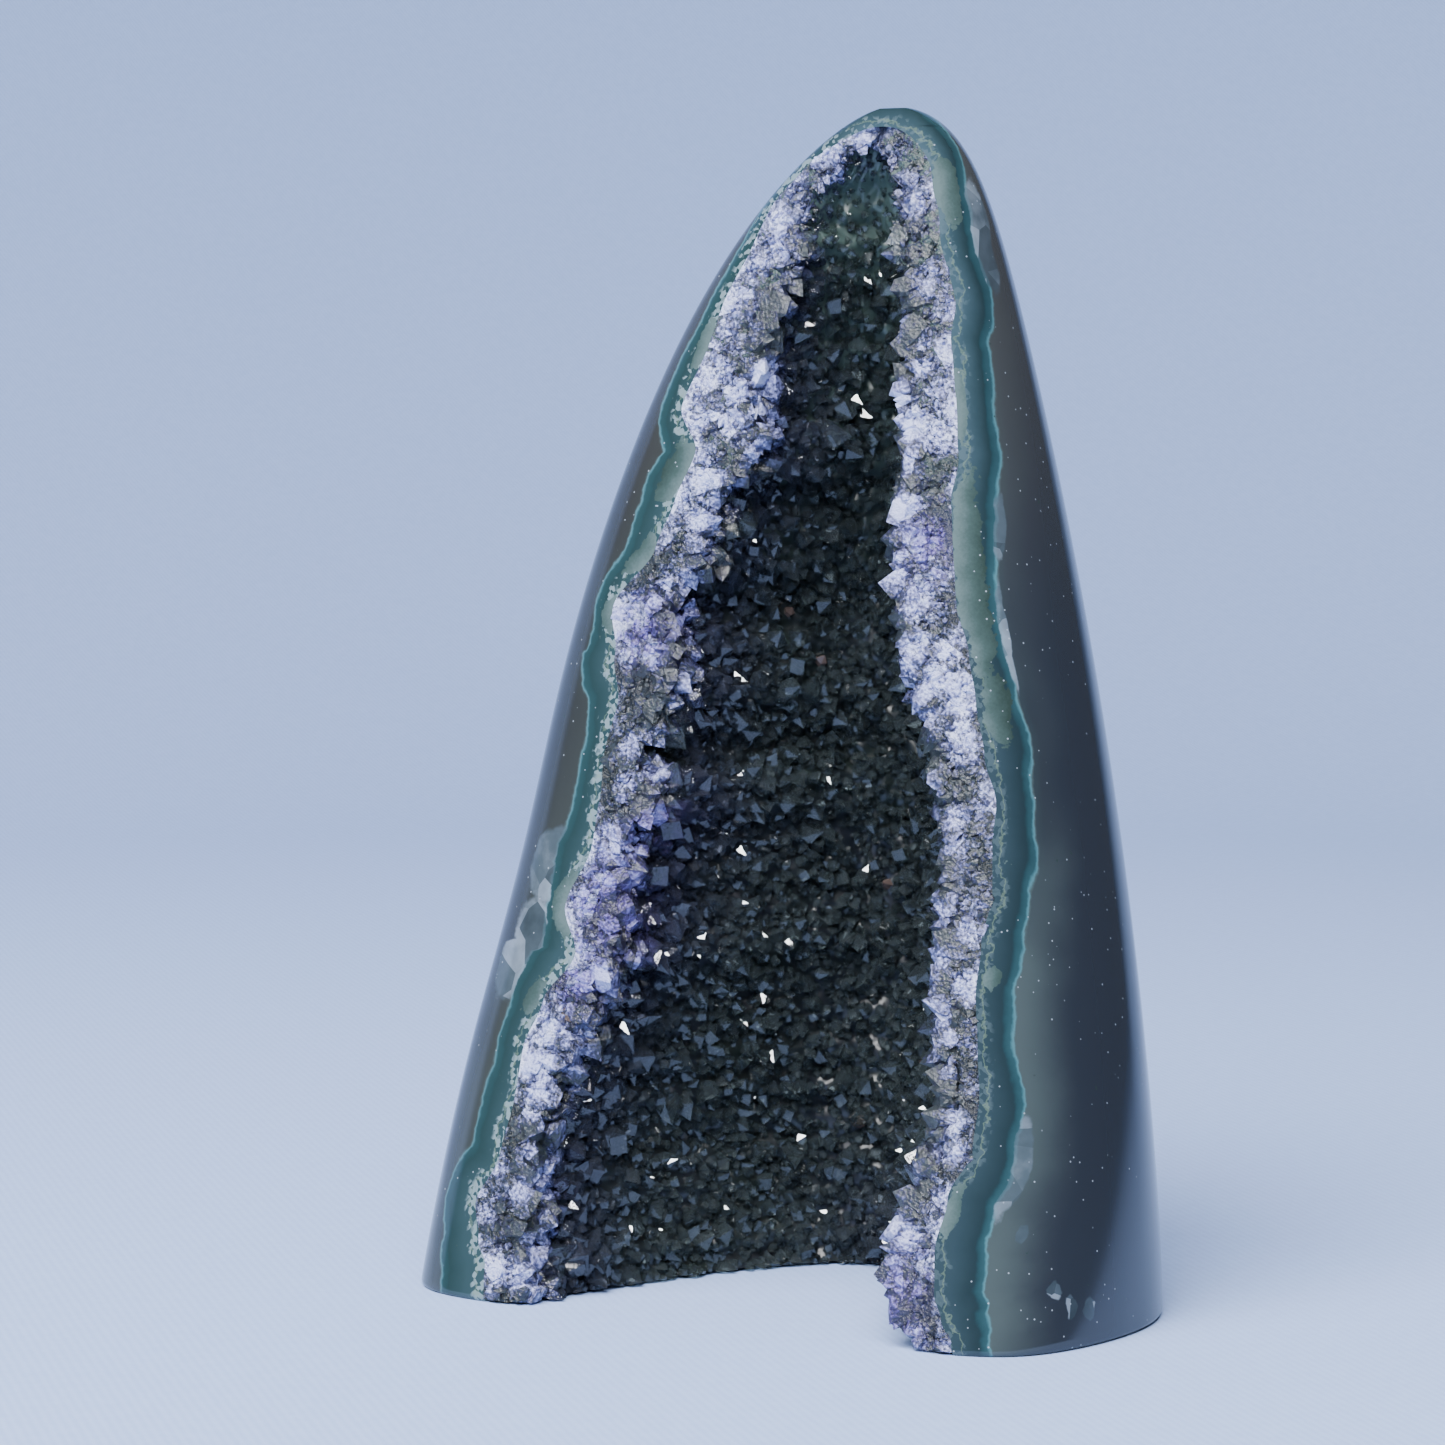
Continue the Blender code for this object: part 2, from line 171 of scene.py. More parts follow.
def stone_point(angle, z):
    """A point of the polished outside. In a level section, the distance from the middle is the nearer of an
    oval and a flat front, blended as (oval ^ -n + flat ^ -n) ^ (-1 / n). Angle 0 is +X, -90 degrees the front."""
    angle, z = np.broadcast_arrays(np.asarray(angle, float), np.asarray(z, float))
    half = BASE_HALF_WIDTH * share_left(z, HEIGHT, STONE_TAPER)
    across, back = np.cos(angle), np.sin(angle)
    depth = np.where(back < 0, NATURAL_FRONT_SHARE, BACK_SHARE)
    oval = 1 / np.hypot(across, back / depth)
    ground = np.where(back < -1e-6, FRONT_SHARE / np.maximum(-back, 1e-6), 1e6)
    up = np.clip(z / HEIGHT, 0, 1)
    sharp = CORNER_SHARPNESS[0] + (CORNER_SHARPNESS[1] - CORNER_SHARPNESS[0]) * up
    reach = (oval**-sharp + ground**-sharp) ** (-1 / sharp)
    direction, reach_round, height, reach_up, share = LEFT_FLAT
    turned = (angle - direction + math.pi) % (2 * math.pi) - math.pi
    reach = reach * (1 - share * np.exp(-((turned / reach_round) ** 2) - ((z - height) / reach_up) ** 2))
    for share, round_, start, rate in SURFACE_WAVES:
        reach = reach * (1 + share * np.sin(round_ * angle + start + rate * z) * np.clip(back + 0.6, 0, 1))
    low = np.clip(1 - z / BASE_BEVEL, 0, 1)
    reach = reach * (1 - (1 - np.sqrt(1 - low**2)) * BASE_BEVEL / BASE_HALF_WIDTH)
    x = APEX_DRIFT * up**DRIFT_POWER + half * reach * across
    y = z * math.tan(FRONT_LEAN) + TOP_ROUNDING * up**10 - MID_DEPTH + half * (FRONT_SHARE + reach * back)
    return np.stack([x, y, z], -1)


def front_angle(x, z):
    """The angle at which the outline of height z passes x on its front side, found by halving."""
    x, z = np.broadcast_arrays(np.asarray(x, float), np.asarray(z, float))
    low, high = np.full(x.shape, -math.pi + 0.01), np.full(x.shape, -0.01)
    for _ in range(26):
        middle = (low + high) / 2
        short = stone_point(middle, z)[..., 0] < x
        low, high = np.where(short, middle, low), np.where(short, high, middle)
    return (low + high) / 2


def on_front(x, z):
    """The point of the stone's front at x and height z."""
    point = stone_point(front_angle(x, z), z)
    point[..., 0] = x
    return point


def hollow_edges(z):
    """The x of the left and the right edge of the hollow on the ground front: tapered half width plus bays."""
    half = HOLLOW_HALF_WIDTH * share_left(z, HOLLOW_TOP, HOLLOW_WIDTH_TAPER)
    return -half - eased(z, LEFT_BAYS), half + eased(z, RIGHT_BAYS)


def layer_widths(z):
    """How far the ground edge of the crystal layer reaches in from the left and the right edge, with lumps of
    some 2.7 mm, |sin(pi z / 2.7 mm + a drift)|. Near the top, where the two meet, each takes at most a share of
    the hollow's width that rises to a half."""
    left, right = hollow_edges(z)
    most = np.interp(z, [95.5 * MM, 97.8 * MM], [0.36, 0.498]) * (right - left)
    bulge = [
        0.7 * MM * (np.abs(np.sin(math.pi * z / (2.7 * MM) + start + 2 * np.sin(z / (9 * MM) + start))) - 0.65)
        for start in (0.4, 2.0)
    ]
    return np.minimum(eased(z, LEFT_LAYER) + bulge[0], most), np.minimum(eased(z, RIGHT_LAYER) + bulge[1], most)


def bowed(s, z, left, right, depth):
    """A parabola in each level section, from the front point left at s = -1 to right at s = 1 and as deep as
    depth between them: both ends mixed by s, plus depth * (1 - s ^ 2) backwards."""
    s = np.asarray(s)[..., None]
    point = (left + right) / 2 + s * (right - left) / 2
    point[..., 1] += depth * (1 - s[..., 0] ** 2)
    point[..., 2] = z
    return point


def hollow_depth(z):
    """From the front to the back of the hollow's wall."""
    return HOLLOW_DEPTH * share_left(z, HOLLOW_TOP, HOLLOW_DEPTH_TAPER)


def bed_depth(z):
    """From the front to the back of the crystal bed."""
    depth = hollow_depth(z)
    return np.maximum(depth - BED_THICKNESS, 0.3 * depth)


def bed_ends(z):
    """The points on the front where the ground edge of the crystal layer turns into the hollow."""
    left, right = hollow_edges(z)
    left_width, right_width = layer_widths(z)
    return on_front(left + left_width, z), on_front(right - right_width, z)


def bed_point(s, z):
    """A point of the smooth crystal bed, s = -1 at its left end and 1 at its right."""
    s, z = np.broadcast_arrays(np.asarray(s, float), np.asarray(z, float))
    left, right = bed_ends(z)
    return bowed(s, z, left, right, bed_depth(z))


def waves(points, size, seed, count=18):
    """Smooth noise of about -1 to 1: the sum of plane waves in random directions, each near size long."""
    dice = np.random.default_rng(seed)
    ways = dice.normal(size=(3, count))
    ways *= 2 * math.pi / (size * dice.uniform(0.6, 1.6, count) * np.linalg.norm(ways, axis=0))
    return np.sin(points @ ways + dice.uniform(0, 2 * math.pi, count)).sum(-1) / math.sqrt(count)


def row_heights(low, top, count):
    """Heights from low to top that lie evenly along the hollow's tapered edge, so closer near its top."""
    z = np.linspace(low, top, 4000)
    steps = np.hypot(np.diff(z), HOLLOW_HALF_WIDTH * np.diff(share_left(z, HOLLOW_TOP, HOLLOW_WIDTH_TAPER)))
    along = np.concatenate([[0], np.cumsum(steps)])
    return np.interp(np.linspace(0, along[-1], count), along, z)


def grid_quads(rows, columns, closed, first=0):
    """The corner numbers of the quads of a grid of points, its last column joined to its first if closed."""
    row, column = np.meshgrid(np.arange(rows - 1), np.arange(columns if closed else columns - 1), indexing="ij")
    after = (column + 1) % columns
    corners = [row * columns + column, row * columns + after, (row + 1) * columns + after, (row + 1) * columns + column]
    return first + np.stack(corners, -1).reshape(-1, 4)


def new_piece(name, points, faces, material, sharp_above=None):
    """A mesh object at the origin, its doubles merged and its normals out."""
    mesh = bpy.data.meshes.new(name)
    mesh.from_pydata(points.reshape(-1, 3), [], faces)
    bm = bmesh.new()
    bm.from_mesh(mesh)
    bmesh.ops.remove_doubles(bm, verts=bm.verts, dist=2e-6)
    bmesh.ops.recalc_face_normals(bm, faces=bm.faces)
    bm.to_mesh(mesh)
    bm.free()
    mesh.materials.append(material)
    if sharp_above is not None:
        mesh.shade_smooth()
        mesh.set_sharp_from_angle(angle=sharp_above)
    piece = bpy.data.objects.new(name, mesh)
    bpy.context.collection.objects.link(piece)
    return piece


def corner_points(piece):
    """The places of a mesh's vertices as one array."""
    found = np.empty(len(piece.data.vertices) * 3)
    piece.data.vertices.foreach_get("co", found)
    return found.reshape(-1, 3)


def store(piece, name, values):
    """Keeps one number for each vertex as an attribute that the material reads."""
    attribute = piece.data.attributes.new(name, "FLOAT", "POINT")
    attribute.data.foreach_set("value", np.asarray(values, np.float32))


def nearest(points, targets):
    """For each point, how far the nearest target is, and which one it is."""
    squares = sum((points[:, k : k + 1] - targets[None, :, k]) ** 2 for k in range(3))
    which = squares.argmin(1)
    return np.sqrt(squares[np.arange(len(points)), which]), which


def agate_wall(material):
    """The stone less its hollow as one closed surface. Each level row runs round the outside from the right
    edge of the hollow by the back to the left edge, and then along the hollow's wall, a parabola, to the start.
    Above the hollow, rings round the tip close at the apex. The base is one flat face."""
    heights = np.concatenate([[0, 0.1 * MM, 0.28 * MM], row_heights(BASE_BEVEL, HOLLOW_TOP, ROWS)])
    z = heights[:, None]
    left_x, right_x = hollow_edges(z)
    start, end = front_angle(right_x, z), front_angle(left_x, z) + 2 * math.pi
    # The columns lie six times as far apart round the back as beside the hollow.
    steps = np.interp(np.linspace(0, 1, OUTSIDE_COLUMNS), [0, 0.33, 0.46, 0.54, 0.67, 1], [1, 1, 6, 6, 1, 1])
    round_ = np.concatenate([[0], np.cumsum(steps) / steps.sum()])
    outside = stone_point(start + (end - start) * round_, z)
    across = np.linspace(-1, 1, HOLLOW_COLUMNS + 1)[1:-1]
    left, right = outside[:, -1:], outside[:, :1]
    hollow = bowed(np.broadcast_to(across, (len(heights), len(across))), z, left, right, hollow_depth(z))
    body = np.concatenate([outside, hollow], 1)
    cap_z = CAD_TOP - (CAD_TOP - HOLLOW_TOP) * np.linspace(1, 0, CAP_ROWS)[:, None] ** 2
    cap = stone_point(start[-1] + 2 * math.pi * round_, cap_z)
    points = np.concatenate([body.reshape(-1, 3), cap.reshape(-1, 3)])
    columns, ring = body.shape[1], outside.shape[1]
    faces = grid_quads(len(heights), columns, True).tolist()
    faces += grid_quads(CAP_ROWS, ring, False, len(heights) * columns).tolist()
    faces.append(list(range(columns)))
    faces.append(list(range(len(points) - ring, len(points) - 1)))
    piece = new_piece("agate_wall_fine", points, faces, material, math.radians(50))

    corners = corner_points(piece)
    edges = np.concatenate([left[:, 0], right[:, 0]])
    band = np.concatenate([eased(heights, LEFT_BAND), eased(heights, RIGHT_BAND)])
    away, which = nearest(corners, edges)
    from_teal = (away - band[which]) / MM
    side = np.where(which < len(heights), -1, 1)
    store(piece, "from_crystals", away / MM)
    store(piece, "from_teal", from_teal)
    store(piece, "sage", patches(SAGE_PATCHES, side, corners[:, 2] / MM, away / MM))
    store(piece, "cloudy", patches(CLOUDY_PATCHES, side, corners[:, 2] / MM, from_teal))
    return piece


def patches(listed, side, height, away):
    """How far inside a patch each corner lies, from 1 at its middle to 0 well outside: the greatest of
    exp(-((dh / half height) ^ 2 + (da / half width) ^ 2) ^ 1.5) over the listed patches of its side."""
    values = [
        (side == which) * np.exp(-(((height - middle) / tall) ** 2 + ((away - out) / wide) ** 2) ** 1.5)
        for which, middle, tall, out, wide in listed
    ]
    return np.max(values, axis=0)


def crystal_bed(material):
    """The layer that the points grow from, one closed surface. Each level row runs along the hollow's wall,
    over the right ground edge, back along the bed's own parabola and over the left ground edge. Lumps of 2 mm
    and of 0.7 mm are plane-wave noise."""
    heights = row_heights(CRUST_FLOOR, HOLLOW_TOP - 0.05 * MM, ROWS)
    z = heights[:, None]
    left_x, right_x = hollow_edges(z)
    left_in, right_in = layer_widths(z)
    left, right = on_front(left_x, z), on_front(right_x, z)
    back_s = np.broadcast_to(np.linspace(-0.998, 0.998, HOLLOW_COLUMNS), (ROWS, HOLLOW_COLUMNS))
    back = bowed(back_s, z, left, right, hollow_depth(z) - 0.05 * MM)
    part = np.linspace(0, 1, STRIP_COLUMNS)
    right_strip = on_front(right_x - right_in * part, z)
    left_strip = on_front(left_x + left_in * part[::-1], z)
    bed_s = np.broadcast_to(np.linspace(1, -1, BED_COLUMNS)[1:-1], (ROWS, BED_COLUMNS - 2))
    bed = bed_point(bed_s, z)
    lump = waves(bed, 2.4 * MM, 5) * 0.35 * MM + waves(bed, 0.8 * MM, 6) * 0.12 * MM
    bed[..., 1] += lump * (1 - np.abs(bed_s) ** 8)
    for strip, share in ((right_strip, part), (left_strip, part[::-1])):
        sink = 0.12 + 0.5 * share**3 + 0.22 * waves(strip, 1.1 * MM, 7) + 0.1 * waves(strip, 0.45 * MM, 8)
        strip[..., 1] += np.clip(sink, -0.05, 1.2) * MM * np.clip(4 * share, 0, 1)
    loop = np.concatenate([back, right_strip, bed, left_strip], 1)
    columns = loop.shape[1]
    faces = grid_quads(ROWS, columns, True).tolist()
    faces.append(list(range(columns)))
    faces.append(list(range((ROWS - 1) * columns, ROWS * columns)))
    piece = new_piece("crystal_bed", loop, faces, material, math.radians(60))
    mark_crust(piece)
    return piece


def mark_crust(piece):
    """Stores how far behind the ground front each corner lies, in millimetres, how milky the edge is at its
    height, mixed from the left and the right side, and how violet it is: exp(-(distance / reach) ^ 2). On the
    left the milk is halved from 1.6 to 4.6 mm in from the edge."""
    corners = corner_points(piece)
    x, y, z = corners.T
    store(piece, "behind_front", (y - on_front(x, z)[:, 1]) / MM)
    left, right = hollow_edges(z)
    across = np.clip((x - left) / np.maximum(right - left, 1e-6), 0, 1)
    milk_left = eased(z, LEFT_MILK) * (1 - 0.5 * np.clip((x - left - 1.6 * MM) / (3 * MM), 0, 1))
    store(piece, "milk", ((1 - across) * milk_left + across * eased(z, RIGHT_MILK)) / MM)
    spots = [np.exp(-(np.hypot(x / MM - sx, z / MM - sz) / reach) ** 2) for sx, sz, reach in VIOLET_SPOTS]
    store(piece, "violet", np.max(spots, axis=0))


def six_sided(feet, axes, radius, length, lean, dice):
    """Six-sided crystals as one array of 13 corners each: a buried ring of six, a shoulder ring of six and the
    tip. The shoulder zigzags along the axis, so that three of the six top faces are the larger ones, as in
    natural quartz, and the tip leans off the axis."""
    count = len(feet)
    axes = axes / np.linalg.norm(axes, axis=1, keepdims=True)
    side = np.cross(axes, dice.normal(size=(count, 3)))
    side /= np.linalg.norm(side, axis=1, keepdims=True)
    other = np.cross(axes, side)
    turn = np.arange(6) * math.pi / 3
    uneven = dice.uniform(0.8, 1.2, (count, 6))
    ring = (np.cos(turn) * uneven)[..., None] * side[:, None] + (np.sin(turn) * uneven)[..., None] * other[:, None]
    ring *= radius[:, None, None]
    zigzag = dice.uniform(0.05, 0.4, count)[:, None] * np.where(np.arange(6) % 2, 1, -1) * radius[:, None]
    shoulder = (length - 1.15 * radius)[:, None] + zigzag
    low = feet[:, None] + 0.9 * ring - 0.9 * radius[:, None, None] * axes[:, None]
    high = feet[:, None] + ring + shoulder[..., None] * axes[:, None]
    tip = feet + length[:, None] * axes + dice.uniform(-lean, lean, (count, 3)) * radius[:, None]
    return np.concatenate([low, high, tip[:, None]], 1)


def six_sided_faces(count):
    """The faces of that many crystals: six sides, six top faces and the buried end."""
    i = np.arange(6)
    j = (i + 1) % 6
    first = 13 * np.arange(count)[:, None, None]
    sides = (first + np.stack([i, j, j + 6, i + 6], -1)).reshape(-1, 4)
    tops = (first + np.stack([i + 6, j + 6, np.full(6, 12)], -1)).reshape(-1, 3)
    ends = (first[:, 0] + i[::-1]).reshape(-1, 6)
    return sides.tolist() + tops.tolist() + ends.tolist()


def lattice(width, height, spacing, dice):
    """A triangular lattice over a rectangle with its middle at 0 across, each point moved by chance."""
    row_step = spacing * math.sqrt(3) / 2
    row, column = np.meshgrid(np.arange(int(height / row_step) + 1), np.arange(int(width / spacing) + 1), indexing="ij")
    across = (column + 0.5 * (row % 2)) * spacing - width / 2
    places = np.stack([across, row * row_step], -1).reshape(-1, 2)
    return places + dice.uniform(-0.36, 0.36, places.shape) * spacing


def wall_feet(spacing, dice):
    """Where points stand on the bed: a lattice on the rolled-out bed. Along a row, s comes from the arc length
    of a parabola about one and a half times as deep as wide, which every section nearly is."""
    climb_z = np.linspace(CRUST_FLOOR, HOLLOW_TOP - 1.2 * MM, 800)
    line = bed_point(np.zeros(800), climb_z)
    climb = np.concatenate([[0], np.cumsum(np.linalg.norm(np.diff(line, axis=0), axis=1))])
    s_table = np.linspace(-1, 1, 201)
    rows = bed_point(s_table[None], climb_z[:, None])
    arcs = np.linalg.norm(np.diff(rows, axis=1), axis=2)
    half_length = arcs.sum(1) / 2
    share = np.concatenate([[0], np.cumsum(arcs[300])])
    share = 2 * share / share[-1] - 1
    places = lattice(2 * half_length.max(), climb[-1], spacing, dice)
    z = np.interp(places[:, 1], climb, climb_z)
    along = places[:, 0] / np.interp(z, climb_z, half_length)
    kept = np.abs(along) < 0.995
    return np.interp(along[kept], share, s_table), z[kept]


def wall_normals(s, z):
    """The bed's unit normals, towards the hollow."""
    along = bed_point(np.minimum(s + 1e-3, 1), z) - bed_point(np.maximum(s - 1e-3, -1), z)
    rise = bed_point(s, z + 0.15 * MM) - bed_point(s, z - 0.15 * MM)
    normal = np.cross(along, rise)
    return normal / np.linalg.norm(normal, axis=1, keepdims=True)


def strip_feet(spacing, dice):
    """Where the small crystals of the ground edge stand: a lattice on both strips, side -1 or 1 and the share
    of the strip's width, 0 at the green band."""
    found = []
    for side in (-1, 1):
        places = lattice(6 * MM, HOLLOW_TOP - 1.0 * MM, spacing, dice)
        z = np.maximum(places[:, 1], CRUST_FLOOR)
        width = layer_widths(z)[0 if side < 0 else 1]
        share = (places[:, 0] + 3 * MM) / width
        kept = (share > 0.1) & (share < 1.05)
        found.append(np.stack([np.full(kept.sum(), side), share[kept], z[kept]], -1))
    return np.concatenate(found)


def ground_flush(corners, proud):
    """Grinds crystals off: no corner stays further forward than proud in front of the stone's front, or than
    the solid, or lower than the cut base."""
    front = on_front(corners[..., 0], corners[..., 2])[..., 1]
    corners[..., 1] = np.maximum(corners[..., 1], np.maximum(front - proud, CAD_FRONT))
    corners[..., 2] = np.maximum(corners[..., 2], CRUST_FLOOR - 0.1 * MM)
    return corners


def amethyst_points(material):
    """The crystals of the hollow's wall, 0.6 to 2.5 mm across, standing off the bed within some 30 degrees. Their
    radius is log-normal about POINT_RADIUS, smaller near the top and larger by the ground edge."""
    dice = np.random.default_rng(SEED)
    s, z = wall_feet(POINT_SPACING, dice)
    feet = bed_point(s, z) + waves(bed_point(s, z), 2.4 * MM, 5)[:, None] * [0, 0.35 * MM, 0]
    normals = wall_normals(s, z)
    count = len(feet)
    small = np.clip((HOLLOW_TOP - z) / (14 * MM), 0.45, 1)
    by_edge = 1 + 0.35 * np.clip((np.abs(s) - 0.75) / 0.15, 0, 1)
    radius = np.clip(dice.lognormal(math.log(POINT_RADIUS), 0.3, count), 0.28, 1.0) * MM * small * by_edge
    length = radius * dice.uniform(1.0, 2.1, count)
    axes = normals + dice.normal(size=(count, 3)) * 0.3
    corners = six_sided(feet, axes, radius, length, 0.25, dice)
    corners = ground_flush(corners, dice.uniform(-0.25, 0.12, (count, 1)) * MM)
    piece = new_piece("amethyst_points", corners, six_sided_faces(count), material)
    mark_crust(piece)
    store(piece, "tone", np.repeat(dice.uniform(0, 1, count), 13))
    flat = np.array(RUSTY_SPOTS) * MM
    rusty = np.zeros(count)
    rusty[((feet[:, None, ::2] - flat) ** 2).sum(-1).argmin(0)] = 1
    store(piece, "rusty", np.repeat(rusty, 13))
    return piece


def edge_sugar(material):
    """The small crystals of the ground edge, 0.4 to 1.2 mm across, ground nearly level with the stone."""
    dice = np.random.default_rng(SEED + 1)
    side, share, z = strip_feet(SUGAR_SPACING, dice).T
    left_x, right_x = hollow_edges(z)
    left_in, right_in = layer_widths(z)
    x = np.where(side < 0, left_x + share * left_in, right_x - share * right_in)
    feet = on_front(x, z)
    feet[:, 1] += (0.25 + 0.5 * share**3) * MM
    count = len(feet)
    radius = dice.lognormal(math.log(SUGAR_RADIUS), 0.35, count) * MM
    length = radius * dice.uniform(0.9, 1.7, count)
    axes = np.stack([-side * 0.5 * share, np.full(count, -1.0), np.full(count, 0.15)], -1)
    axes += dice.normal(size=(count, 3)) * 0.4
    corners = six_sided(feet, axes, radius, length, 0.3, dice)
    corners = ground_flush(corners, dice.uniform(-0.1, 0.2, (count, 1)) * MM)
    piece = new_piece("edge_sugar", corners, six_sided_faces(count), material)
    mark_crust(piece)
    store(piece, "tone", np.repeat(dice.uniform(0, 1, count), 13))
    return piece


def linear(hex_colour):
    """An sRGB hex value as linear red, green, blue and a full alpha."""
    parts = [int(hex_colour[i : i + 2], 16) / 255 for i in (0, 2, 4)]
    return (*[c / 12.92 if c <= 0.04045 else ((c + 0.055) / 1.055) ** 2.4 for c in parts], 1.0)


def add_node(tree, kind, inputs=(), stops=(), **settings):
    """Adds a node and returns its outputs. Inputs come as a list from the first on, or by name or number: an output
    is linked, a hex colour is made linear, and any other value is set. Stops are a ramp's (position, hex) pairs."""
    node = tree.nodes.new("ShaderNode" + kind)
    for key, value in settings.items():
        setattr(node, key, value)
    for key, value in inputs.items() if isinstance(inputs, dict) else enumerate(inputs):
        if isinstance(value, bpy.types.NodeSocket):
            tree.links.new(value, node.inputs[key])
        else:
            node.inputs[key].default_value = linear(value) if isinstance(value, str) else value
    while stops and len(node.color_ramp.elements) < len(stops):
        node.color_ramp.elements.new(0.5)
    for number, (position, colour) in enumerate(stops):
        node.color_ramp.elements[number].position = position
        node.color_ramp.elements[number].color = linear(colour)
    return node.outputs


def new_material(name):
    """An empty material, what adds nodes to it, and the Object coordinates that its patterns read."""
    material = bpy.data.materials.new(name)
    material.use_nodes = True
    material.node_tree.nodes.clear()
    add = functools.partial(add_node, material.node_tree)
    return material, add, add("TexCoord")["Object"]


def weighed(add, start, *terms):
    """A start value plus each output times its factor."""
    total = start
    for output, factor in terms:
        total = add("Math", (output, factor, total), operation="MULTIPLY_ADD")[0]
    return total


def overlaid(add, base, layers):
    """Lays colours over a base one after another. A layer is its colour and the smooth steps whose product is its
    share, each as (value, low, high, result at low, result at high)."""
    for colour, *steps in layers:
        share = 1.0
        for step in steps:
            share = add("Math", (share, add("MapRange", step, **SMOOTH)[0]), operation="MULTIPLY")[0]
        base = add("Mix", {0: share, 6: base, 7: colour}, data_type="RGBA")[2]
    return base


def polished_agate():
    """Agate, a chalcedony, cut and polished to a mirror: dark blue-grey, with a teal line and a grey-green band
    beside the crystals. The polish leaves a low roughness and sharp reflections."""
    material, add, place = new_material("polished agate")
    away, beside, sage_here, cloudy_here = (
        add("Attribute", attribute_name=name)["Fac"] for name in ("from_teal", "from_crystals", "sage", "cloudy")
    )
    sideways, _, height = add("SeparateXYZ", (place,))
    # Noise with features of 2.5, 0.55 and 0.25 mm, soft zones of 14 and 6 mm, and cracks of 1.8 mm.
    slow, quick, fine, zones, dusty_zones, cracks = (
        add("TexNoise", {"Vector": place, "Scale": 1000 / size, "Detail": detail})["Fac"]
        for size, detail in ((2.5, 2), (0.55, 2), (0.25, 3), (14, 1), (6, 2), (1.8, 4))
    )
    # Millimetres out from the teal line, with a crinkle of a few tenths. The ramp spans -3.9 to 4.1.
    line = weighed(add, -0.6, (away, 1), (slow, 0.9), (quick, 0.3))
    bands = add("ValToRGB", (add("MapRange", (line, -3.9, 4.1))[0],), (
        (0.0, "415357"), (0.22, "3a4c51"), (0.36, "2b3d40"), (0.425, "233436"), (0.455, "1e3032"), (0.48, "213b3e"),
        (0.545, "2a4649"), (0.575, "4b7679"), (0.592, "434f4d"), (0.61, "2e3638"), (0.70, "2b3034"), (1.0, "292d33"),
    ))[0]
    # Grains of 0.35 mm, broken chips of 3 mm, and specks of dust, at most one in each cell of 0.9 mm.
    grains, chips, dust = (add("TexVoronoi", {"Vector": place, "Scale": scale}) for scale in (2800, 330, 1100))
    grain_tone = add("SeparateColor", (grains["Color"],))[0]
    chip_tone = add("SeparateColor", (chips["Color"],))[0]
    grain_reach = weighed(add, -0.8, (beside, 1), (slow, 1.6), (grain_tone, -0.9))
    thread = add("Math", (weighed(add, -2.1, (beside, 1), (slow, 1.6), (quick, 1.2)),), operation="ABSOLUTE")[0]
    sage_colours = add("ValToRGB", (weighed(add, 0.4, (beside, -0.28), (slow, 0.6), (fine, 0.25)),), (
        (0.1, "2b3932"), (0.45, "3d4d47"), (0.8, "5a6964"),
    ))[0]
    chip_colours = add("ValToRGB", (weighed(add, -0.15, (chip_tone, 0.7), (cracks, 0.6)),), (
        (0.1, "323c40"), (0.45, "4c575c"), (0.85, "8a949b"),
    ))[0]
    skin = overlaid(add, bands, (
        # The skin outside the teal line is cloudy grey-green in zones, mostly low down, which is partly the stone's own
        # cloudiness and partly a painted soft reflection, and grey-brown above.
        ("424b49", (line, 0.9, 6.5, 1, 0), (zones, 0.35, 0.55, 0, 1), (height, 0.03, 0.055, 1, 0.25),
         (line, 0.6, 0.9, 0, 1)),
        ("46443f", (height, 0.05, 0.09, 0, 0.6), (line, 0.7, 1.0, 0, 1)),
        # On the left it is warmer.
        ("302f2a", (sideways, -0.004, 0.004, 1, 0), (line, 0.7, 1.0, 0, 0.6)),
        # The band is darker low on the right, which is painted shade, and the teal line is darker on the left.
        ("1f2c30", (sideways, 0, 0.004, 0, 1), (height, 0.05, 0.08, 0.6, 0), (line, -0.4, 0.2, 1, 0)),
        ("263c3a", (sideways, -0.004, 0.004, 0.6, 0), (line, 0.35, 0.75, 1, 0)),
        # Pale grains reach out under the polish beside the crystals, with a crinkled yellow-green thread.
        ("8b9c9b", (grain_reach, 0.1, 0.55, 1, 0), (grain_tone, 0.45, 0.6, 0, 1), (sideways, -0.002, 0.008, 0.7, 0.12)),
        ("75866b", (thread, 0.03, 0.13, 0.35, 0), (away, -0.9, -1.3, 0, 1)),
        # Sage patches with crisp edges inside the band, cloudy chipped ones outside it, and dust.
        (sage_colours, (weighed(add, 0, (sage_here, 1), (quick, 0.9), (slow, 0.9)), 1.22, 1.28, 0, 1)),
        (chip_colours, (weighed(add, 0, (cloudy_here, 1), (quick, 0.2), (slow, 0.4)), 0.6, 0.8, 0, 0.75),
         (line, 0.45, 0.6, 0, 1)),
        ("a9b0b4", (dust["Distance"], 0.06, 0.1, 0.8, 0), (dusty_zones, 0.42, 0.5, 0, 1)),
    ))
    shader = add("BsdfPrincipled", {"Base Color": skin, "IOR": 1.54, "Roughness": 0.1})
    add("OutputMaterial", shader)
    return material


